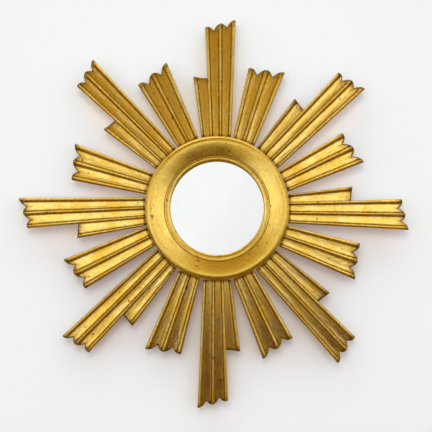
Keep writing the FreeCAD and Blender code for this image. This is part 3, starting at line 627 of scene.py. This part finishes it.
def lobe_point(ray, row_share, across):
    """A point of a lobe's carved top, how rubbed it is, and how darkened it is by dirt and painted shade."""
    end = ray.lobe_end(across)
    along = ROOT_RADIUS + (end - ROOT_RADIUS) * row_share
    low = ray.bar_side(along) - JOINT_GAP
    high = ray.lobe_side(along)
    cut = ray.depth(along) * lobe_depth_share(across)
    drop = cut + ray.unevenness(along, across + LOBE_NOISE_PLACE) + tip_drop(end - along)
    point = (along, low + (high - low) * across, RAY_TOP - drop)
    foot = LOBE_RIDGE_PLACE_SHARE - LOBE_RIDGE_SHARE
    rubbed = RUB_WIDTH / (high - low)
    dirty = DIRT_WIDTH / (high - low)
    crest = RIDGE_RUB_SHARE * near(across - LOBE_RIDGE_PLACE_SHARE, rubbed)
    # The groove mark also darkens the lobe's outer edge, over half the width
    groove = near(across, dirty) + near(across - foot, dirty) + near(1 - across, dirty / 2)
    return point, crest + near(end - along, END_RUB), groove + end_darkening_and_corner_shade(along, end)


class Shell:
    """Gathers the points, faces and wear of one closed carving."""

    def __init__(self):
        self.points = []
        self.faces = []
        self.backs = []
        self.crest = []
        self.groove = []

    def add(self, point, crest, groove):
        self.points.append(point)
        self.crest.append(min(crest, 1.0))
        self.groove.append(min(groove, 1.0))
        return len(self.points) - 1

    def lower(self, index):
        """A point on the flat back below another."""
        along, across, _ = self.points[index]
        return self.add((along, across, HUB_FRONT), 0.0, BACK_DARKENING_SHARE)

    def face(self, corners, back=False):
        self.faces.append(corners)
        self.backs.append(back)

    def add_block(self, rows, columns, point_at):
        """A carved top over a flat back, with walls all round."""
        top = [[self.add(*point_at(row, column)) for column in columns] for row in rows]
        for this, following in zip(top, top[1:]):
            for a, b, c, d in zip(this, this[1:], following[1:], following):
                self.face((a, d, c, b))
        low = [self.lower(row[0]) for row in top]
        high = [self.lower(row[-1]) for row in top]
        for i in range(len(top) - 1):
            self.face((top[i][0], low[i], low[i + 1], top[i + 1][0]))
            self.face((top[i][-1], top[i + 1][-1], high[i + 1], high[i]))
        tip = [low[-1]] + [self.lower(index) for index in top[-1][1:-1]] + [high[-1]]
        for a, b, c, d in zip(top[-1], top[-1][1:], tip[1:], tip):
            self.face((a, d, c, b))
        for i in range(BACK_ROWS):
            self.face((low[i], high[i], high[i + 1], low[i + 1]), back=True)
        ahead = high[BACK_ROWS:] + tip[-2:0:-1] + low[:BACK_ROWS - 1:-1]
        self.face(ahead, back=True)
        self.face(list(top[0]) + [high[0], low[0]])


def stand(point, turn):
    """A bench point, turned about the mirror's axis and stood against the wall."""
    along, across, height = point
    return (along * math.cos(turn) - across * math.sin(turn), -height,
            along * math.sin(turn) + across * math.cos(turn))


def finish_piece(name, shell, points, grain, materials, node):
    """Makes the mesh object of a shell, with its wear, and sets it in the place of a solid."""
    mesh = bpy.data.meshes.new(name)
    mesh.from_pydata(points, [], shell.faces)
    for title, values in (("crest", shell.crest), ("groove", shell.groove)):
        mesh.attributes.new(title, "FLOAT", "POINT").data.foreach_set("value", values)
    flat_grain = [number for place in grain for number in place]
    mesh.attributes.new("grain", "FLOAT_VECTOR", "POINT").data.foreach_set("vector", flat_grain)
    for material in materials:
        mesh.materials.append(material)
    mesh.polygons.foreach_set("material_index", [int(back) for back in shell.backs])
    mesh.polygons.foreach_set("use_smooth", [True] * len(shell.faces))
    mesh.set_sharp_from_angle(angle=SHARP_ANGLE)
    mesh.validate()
    mesh.update()
    piece = bpy.data.objects.new(name, mesh)
    bpy.context.collection.objects.link(piece)
    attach(piece, "mirror")
    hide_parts(node)


def make_ray(node, kind, place, lean, reach_share, joints, lobed, seed, materials):
    """One carved ray, with a lobe if it is lobed."""
    ray = Ray(kind, lean, reach_share, joints, seed)
    shell = Shell()
    shell.add_block(ROW_SHARES, ray_columns(), lambda row, column: bar_point(ray, lobed, row, column))
    if lobed:
        shell.add_block(ROW_SHARES, lobe_columns(), lambda row, column: lobe_point(ray, row, column))
    points = [stand(point, place + lean) for point in shell.points]
    grain = [(along, across, seed) for along, across, _ in shell.points]
    finish_piece(f"carved_{node}", shell, points, grain, materials, node)


def joints_of_long(index):
    """The joints before and after a long ray, each turned with the two rays that meet there."""
    before = (SHORT_TURN_ANGLES[index - 1] + LONG_TURN_ANGLES[index]) / 2
    after = (LONG_TURN_ANGLES[index] + SHORT_TURN_ANGLES[index]) / 2
    return math.radians(before) - SPLIT_BEFORE, math.radians(after) + SPLIT_AFTER


def make_rays(materials):
    """The long rays, and a short one after each."""
    for index in range(RAYS):
        number = index + 1
        place = PITCH * index
        before, after = joints_of_long(index)
        next_before, _ = joints_of_long(number % RAYS)
        long_lean = math.radians(LONG_TURN_ANGLES[index])
        short_lean = math.radians(SHORT_TURN_ANGLES[index]) + SHORT_SKEW
        short_joints = (after - PITCH / 2, next_before + PITCH / 2)
        make_ray(f"long_ray_{number}", LONG, place, long_lean, LONG_REACH_SHARES[index],
                 (before, after), True, SEED_STEP * number, materials)
        make_ray(f"short_ray_{number}", SHORT, place + PITCH / 2, short_lean, SHORT_REACH_SHARES[index],
                 short_joints, False, SEED_STEP * number + SHORT_SEED, materials)


# Turned ring

RING_STEPS = 288
RIM_STEPS = 14
SHOULDER_STEPS = 6
BEAD_STEPS = 12
BEAD_START = 12
LIP_STEPS = 10
GESSO_WAVER = 0.12 * MM
GESSO_SCALES = (3, 60)
RING_RUB_SCALES = (2.5, 40)

# How much each stretch of the section is rubbed, and how dirty it is
RING_WEAR_SHARES = {"skirt": (0.0, 0.3), "side": (0.5, 0.5), "rim": (0.25, 0.05), "rim_step": (0.0, 0.5),
                    "shoulder": (0.08, 0.0), "cushion": (0.05, 0.0), "outer_groove": (0.0, 0.9),
                    "bead": (0.2, 0.1), "inner_groove": (0.0, 0.8), "lip": (0.1, 0.1), "rebate": (0.0, 0.6)}


def arc(centre, radius, start, end, steps, rise=None):
    """Points of an arc in degrees, from radius and height, or of an oval with its own rise."""
    angles = [math.radians(start + (end - start) * step / steps) for step in range(steps + 1)]
    rise = rise or radius
    return [(centre[0] + radius * math.cos(a), centre[1] + rise * math.sin(a)) for a in angles]


def low_arc(reach, drop):
    """Radius and turn, in degrees, of an arc that starts level and falls by the drop over the reach."""
    radius = (reach ** 2 + drop ** 2) / (2 * drop)
    return radius, math.degrees(math.asin(reach / radius))


def steady_fall(inwards):
    """The fall of a slope that turns from level to a steady lean within a short way."""
    return CUSHION_LEAN * (inwards - CUSHION_TURN * (1 - math.exp(-inwards / CUSHION_TURN)))


def cushion_slope(crest, crest_level, reach):
    """Points from the ring's crest in to the bead: a slope that is soon reached and steepens slowly."""
    points = []
    for step in range(1, CUSHION_STEPS + 1):
        inwards = reach * (step / CUSHION_STEPS) ** CUSHION_CROWDING
        steepening = (CUSHION_FALL - steady_fall(reach)) * (inwards / reach) ** 2
        points.append((crest - inwards, crest_level - steady_fall(inwards) - steepening))
    return points


def ring_section():
    """The stretches of the ring's section, from the skirt's foot round the outside to the rebate."""
    rim_inner = RING_RADIUS - RIM_WIDTH
    crest = rim_inner - CUSHION_ROUND
    bead_inner = SIGHT_RADIUS + SIGHT_WIDTH
    bead_outer = bead_inner + BEAD_WIDTH
    rim_level = RAY_TOP + RIM_SIDE
    crest_level = RAY_TOP + CUSHION_HEIGHT
    shoulder_level = crest_level - SHOULDER_DROP
    rim_radius, rim_turn = low_arc(RIM_WIDTH, RIM_CROWN)
    shoulder_radius, shoulder_turn = low_arc(CUSHION_ROUND, SHOULDER_DROP)
    shoulder_middle = (crest, crest_level - shoulder_radius)
    rim_top = rim_level + RIM_CROWN
    rim_middle = (rim_inner, rim_top - rim_radius)
    bead_middle = ((bead_outer + bead_inner) / 2, RAY_TOP + BEAD_BASE)
    lip_foot = (bead_inner, RAY_TOP + SIGHT_EDGE)
    lip_rise = BEAD_BASE - SIGHT_EDGE - LIP_STEP
    return {
        "skirt": [(REBATE_RADIUS, HUB_FRONT), (SKIRT_RADIUS, HUB_FRONT), (SKIRT_RADIUS, RAY_TOP)],
        "side": [(RING_RADIUS, RAY_TOP), (RING_RADIUS, rim_level)],
        "rim": arc(rim_middle, rim_radius, 90 - rim_turn, 90, RIM_STEPS)[1:],
        "rim_step": [(rim_inner, (rim_top + shoulder_level) / 2)],
        "shoulder": arc(shoulder_middle, shoulder_radius, 90 - shoulder_turn, 90, SHOULDER_STEPS),
        "cushion": cushion_slope(crest, crest_level, crest - bead_outer),
        "outer_groove": [(bead_outer, RAY_TOP + BEAD_BASE)],
        "bead": arc(bead_middle, BEAD_WIDTH / 2, BEAD_START, 180 - BEAD_START, BEAD_STEPS),
        "inner_groove": [(bead_inner, RAY_TOP + BEAD_BASE)],
        "lip": arc(lip_foot, SIGHT_WIDTH, 90, 180, LIP_STEPS, lip_rise),
        "rebate": [(SIGHT_RADIUS, GLASS_FRONT), (REBATE_RADIUS, GLASS_FRONT)],
    }


def ring_noise(ahead, distance, round_scale, section_scale):
    """Noise round the ring and along its section."""
    return smooth_noise(ahead[0] * round_scale, ahead[1] * round_scale, distance * section_scale)


def make_ring(materials):
    """The turned ring, a little uneven under its gesso."""
    shell = Shell()
    points = []
    grain = []
    section = [(radius, level, *RING_WEAR_SHARES[title]) for title, stretch in ring_section().items()
               for radius, level in stretch]
    travelled = [0.0]
    for (r0, l0, _, _), (r1, l1, _, _) in zip(section, section[1:]):
        travelled.append(travelled[-1] + math.hypot(r1 - r0, l1 - l0))
    for step in range(RING_STEPS):
        angle = math.tau * step / RING_STEPS
        for (radius, level, crest, groove), distance in zip(section, travelled):
            ahead = (math.cos(angle), math.sin(angle))
            waver = GESSO_WAVER * ring_noise(ahead, distance, *GESSO_SCALES)
            height = level - abs(waver) if level > RAY_TOP + RIM_SIDE else level
            rub = crest * (1 + ring_noise(ahead, distance, *RING_RUB_SCALES))
            shell.add((radius, angle, height), rub, groove)
            points.append((radius * ahead[0], -height, radius * ahead[1]))
            grain.append((radius * ahead[0], distance, radius * ahead[1]))
    count = len(section)
    for step in range(RING_STEPS):
        here = step * count
        following = (step + 1) % RING_STEPS * count
        for index in range(count):
            after = (index + 1) % count
            shell.face((here + index, following + index, following + after, here + after))
    finish_piece("turned_ring", shell, points, grain, materials, "ring_frame")


# Light, wall and camera

PHOTO_WIDTH = 0.6631
CAMERA_DISTANCE = 1.4
SENSOR = 36.0
FRAME_MIDDLE = (-1.7 * MM, -11.7 * MM)


def add_plane(name, corners, colour):
    """A matt plane that is not part of the object."""
    mesh = bpy.data.meshes.new(name)
    mesh.from_pydata(corners, [], [tuple(range(len(corners)))])
    material, tree, shader = new_material(name)
    shader.inputs["Base Color"].default_value = colour
    shader.inputs["Roughness"].default_value = 1.0
    shader.inputs["Specular IOR Level"].default_value = 0.0
    mesh.materials.append(material)
    plane = bpy.data.objects.new(name, mesh)
    bpy.context.collection.objects.link(plane)
    return plane, tree, shader


# Wall, with painted shade beside the gilding and a painted fill glow. Of two colours, the first is low on
# the wall and the second high.
WALL_SIDE = 4.0
WALL_LEVEL = 0.5 * MM
WALL_PAINT = (0.85, 0.93, 0.93, 1)
WALL_EVEN_RANGE = (-0.33, 0.33)
PAINTED_FILL_GLOWS = ((0.165, 0.16, 0.15, 1), (0.045, 0.03, 0.025, 1))
SHADE_REACH = 0.07
SHADE_LEAN = {"Y": -0.2, "Z": 0.98}
SHADE_SAMPLES = 16
SHADE_RANGE = (0.3, 0.9)
SHADE_HEIGHT_RANGE = (-0.12, 0.12)
PAINTED_SHADE_COLOURS = ((0.68, 0.53, 0.38, 1), (0.97, 0.76, 0.53, 1))
PAINTED_SHADE_GLOWS = ((0.12, 0.08, 0.045, 1), (0.46, 0.355, 0.26, 1))


def make_wall():
    """A pale wall that shows from its front only. Shade beside the gilding is painted into it as a warm
    colour and glow where the mirror is near, mostly above, darker low on the wall and lighter high. A faint
    painted glow makes up for the lamps, which fade downwards."""
    corners = [(-WALL_SIDE, WALL_LEVEL, -WALL_SIDE), (WALL_SIDE, WALL_LEVEL, -WALL_SIDE),
               (WALL_SIDE, WALL_LEVEL, WALL_SIDE), (-WALL_SIDE, WALL_LEVEL, WALL_SIDE)]
    wall, tree, shader = add_plane("wall", corners, WALL_PAINT)
    lean = add_node(tree, "ShaderNodeCombineXYZ", SHADE_LEAN).outputs["Vector"]
    openness = add_node(tree, "ShaderNodeAmbientOcclusion", {"Distance": SHADE_REACH, "Normal": lean},
                        samples=SHADE_SAMPLES)
    open_share = span(tree, openness.outputs["AO"], *SHADE_RANGE)
    height = part_of(tree, place_of(tree), "Z")
    upper = span(tree, height, *SHADE_HEIGHT_RANGE)
    # Painted shade: a warm colour and glow where the mirror is near, darker low on the wall and lighter high
    painted_shade_colour = blend_colours(tree, upper, *PAINTED_SHADE_COLOURS)
    painted_shade_glow = blend_colours(tree, upper, *PAINTED_SHADE_GLOWS)
    # Painted fill glow on the open wall, stronger low down, which evens out the lamps
    painted_fill_glow = blend_colours(tree, span(tree, height, *WALL_EVEN_RANGE), *PAINTED_FILL_GLOWS)
    connect(tree, blend_colours(tree, open_share, painted_shade_colour, WALL_PAINT), shader.inputs["Base Color"])
    connect(tree, blend_colours(tree, open_share, painted_shade_glow, painted_fill_glow), shader.inputs["Emission Color"])
    shader.inputs["Emission Strength"].default_value = 1.0
    backside = add_node(tree, "ShaderNodeNewGeometry").outputs["Backfacing"]
    clear = add_node(tree, "ShaderNodeBsdfTransparent").outputs["BSDF"]
    mixed = add_node(tree, "ShaderNodeMixShader", {0: backside, 1: shader.outputs["BSDF"], 2: clear})
    connect(tree, mixed.outputs["Shader"], tree.nodes["Material Output"].inputs["Surface"])
    wall.visible_diffuse = False
    wall.visible_shadow = False


# Screen and floor before the wall, which the gilding and the glass mirror
SCREEN_PLACE = -1.95
SCREEN_SIDE = 1.5
SCREEN_LOW = -0.9
SCREEN_HIGH = 2.8
SCREEN_TILT = math.radians(12)
SCREEN_GLOW = 1.45
SCREEN_BRIGHT = (0.95, 0.97, 1.35, 1)
SCREEN_DIMS = ((0.07, 0.026, 0.001, 1), (0.27, 0.18, 0.05, 1))
DIM_RANGE = (-0.2, 0.2)
SIDE_RANGE = (0.42, 0.80)
LOW_LIGHT = (0.25, SCREEN_PLACE, -0.18)
LOW_LIGHT_RANGE = (0.05, 0.24)
LOW_LIGHT_SHARE = 0.6
GLASS_VIEW = (2.3 * MM, SCREEN_PLACE, 16 * MM)
GLASS_VIEW_RANGE = (0.175, 0.205)
GLASS_VIEW_PALES = ((0.70, 0.70, 0.695, 1), (0.625, 0.625, 0.622, 1))
PALE_RANGE = (-0.05, 0.30)
PANEL_PAINT = (0.5, 0.5, 0.5, 1)
FLOOR_SIDE = 4.0
FLOOR_COLOUR = (1.0, 0.54, 0.07, 1)
FLOOR_GLOW = 0.22


def make_glow(name, corners):
    """A glowing panel that the camera itself does not see."""
    panel, tree, _ = add_plane(name, corners, PANEL_PAINT)
    glow = add_node(tree, "ShaderNodeEmission")
    connect(tree, glow.outputs["Emission"], tree.nodes["Material Output"].inputs["Surface"])
    panel.visible_camera = False
    return tree, glow


def make_floor():
    """The room's floor, which warms the lower edges."""
    tree, glow = make_glow("room_floor", [
        (-FLOOR_SIDE, 0, SCREEN_LOW), (FLOOR_SIDE, 0, SCREEN_LOW),
        (FLOOR_SIDE, -FLOOR_SIDE, SCREEN_LOW), (-FLOOR_SIDE, -FLOOR_SIDE, SCREEN_LOW)])
    connect(tree, FLOOR_COLOUR, glow.inputs["Color"])
    connect(tree, FLOOR_GLOW, glow.inputs["Strength"])


def distance_from(tree, place, point):
    node = add_node(tree, "ShaderNodeVectorMath", {0: place, 1: point}, operation="DISTANCE")
    return node.outputs["Value"]


def make_screen():
    """The room before the mirror as one soft screen: bright at both sides and in a spot low on one of them,
    warm and dim above, darker below, and pale where the glass looks at it."""
    tree, glow = make_glow("room_screen", [
        (SCREEN_SIDE, SCREEN_PLACE, SCREEN_LOW), (-SCREEN_SIDE, SCREEN_PLACE, SCREEN_LOW),
        (-SCREEN_SIDE, SCREEN_PLACE, SCREEN_HIGH), (SCREEN_SIDE, SCREEN_PLACE, SCREEN_HIGH)])
    place = place_of(tree)
    turned = add_node(tree, "ShaderNodeMapping", {"Vector": place, "Rotation": (0, SCREEN_TILT, 0)})
    sideways = part_of(tree, turned.outputs["Vector"], "X")
    upwards = part_of(tree, turned.outputs["Vector"], "Z")
    outwards = math_node(tree, "ADD", squared(tree, sideways), squared(tree, upwards))
    side_share = math_node(tree, "DIVIDE", squared(tree, sideways), outwards)
    dim = blend_colours(tree, span(tree, upwards, *DIM_RANGE), *SCREEN_DIMS)
    low_light = span(tree, distance_from(tree, place, LOW_LIGHT), *LOW_LIGHT_RANGE, LOW_LIGHT_SHARE, 0.0)
    side_light = math_node(tree, "MAXIMUM", span(tree, side_share, *SIDE_RANGE), low_light)
    lit = blend_colours(tree, side_light, dim, SCREEN_BRIGHT)
    corner = math_node(tree, "SUBTRACT", sideways, upwards)
    pale = blend_colours(tree, span(tree, corner, *PALE_RANGE), *GLASS_VIEW_PALES)
    outside_view = span(tree, distance_from(tree, place, GLASS_VIEW), *GLASS_VIEW_RANGE)
    connect(tree, blend_colours(tree, outside_view, pale, lit), glow.inputs["Color"])
    connect(tree, SCREEN_GLOW, glow.inputs["Strength"])


# Lamps and the light all round
OVERHEAD = {"place": (0.0, -0.95, 2.3), "size": (3.5, 1.0), "watts": 14.0}
KEY = {"place": (-0.1, -1.85, 0.6), "size": (0.8, 0.8), "watts": 13.6}
ROOM_COLOURS = ((1.0, 0.93, 0.82, 1), (0.45, 0.42, 0.37, 1))
ROOM_RANGE = (-0.1, 0.3)
ROOM_STRENGTH = 0.75


def add_lamp(name, place, size, watts):
    """A soft lamp that faces the middle of the mirror."""
    data = bpy.data.lights.new(name, "AREA")
    data.shape = "RECTANGLE"
    data.size, data.size_y = size
    data.energy = watts
    lamp = bpy.data.objects.new(name, data)
    lamp.location = place
    lamp.rotation_mode = "QUATERNION"
    lamp.rotation_quaternion = (-Vector(place)).to_track_quat("-Z", "Y")
    bpy.context.collection.objects.link(lamp)
    return lamp


def make_light():
    """Warm light all round, dimmer from behind the wall, and two lamps. Nothing mirrors the key lamp."""
    world = bpy.data.worlds.new("studio")
    world.use_nodes = True
    tree = world.node_tree
    background = tree.nodes["Background"]
    direction = add_node(tree, "ShaderNodeTexCoord").outputs["Generated"]
    shade = blend_colours(tree, span(tree, part_of(tree, direction, "Y"), *ROOM_RANGE), *ROOM_COLOURS)
    connect(tree, shade, background.inputs["Color"])
    background.inputs["Strength"].default_value = ROOM_STRENGTH
    bpy.context.scene.world = world
    add_lamp("overhead", **OVERHEAD)
    key = add_lamp("key", **KEY)
    key.visible_glossy = False


def make_camera():
    """A camera straight before the mirror."""
    data = bpy.data.cameras.new("camera")
    data.sensor_width = SENSOR
    data.lens = SENSOR * CAMERA_DISTANCE / PHOTO_WIDTH
    camera = bpy.data.objects.new("camera", data)
    camera.location = (FRAME_MIDDLE[0], -RAY_TOP - CAMERA_DISTANCE, FRAME_MIDDLE[1])
    camera.rotation_euler = (math.radians(90), 0, 0)
    bpy.context.collection.objects.link(camera)
    bpy.context.scene.camera = camera
    bpy.context.scene.view_settings.view_transform = "Standard"


def dress_solids():
    """The solids that stay, in their materials."""
    steel = metal_material("steel", STEEL, STEEL_ROUGHNESS)
    brass = metal_material("brass", BRASS, BRASS_ROUGHNESS)
    dress("mirror_glass", mirror_material())
    dress("hub_board", plywood_material())
    dress("backing_card", board_material("backing_card", CARD, CARD_SCALE))
    dress("back_cover", board_material("cover_board", COVER_BOARD, COVER_BOARD_SCALE))
    for node in ("glazing_pins", "clamp_screws", "ray_screws", "cover_screws"):
        dress(node, steel)
    for node in ("hanger_plate", "hanger_ring", "hanger_screws"):
        dress(node, brass)


make_camera()
make_light()
make_floor()
make_screen()
make_wall()
ray_gilt = gilt_material("gilt_rays", RAY_LEAF, satin=0.15, tone_range=0.10, lacquer=0.0)
ring_gilt = gilt_material("gilt_ring", RING_LEAF, satin=0.19, tone_range=0.20, lacquer=0.9)
make_rays([ray_gilt, back_wood_material()])
make_ring([ring_gilt])
dress_solids()
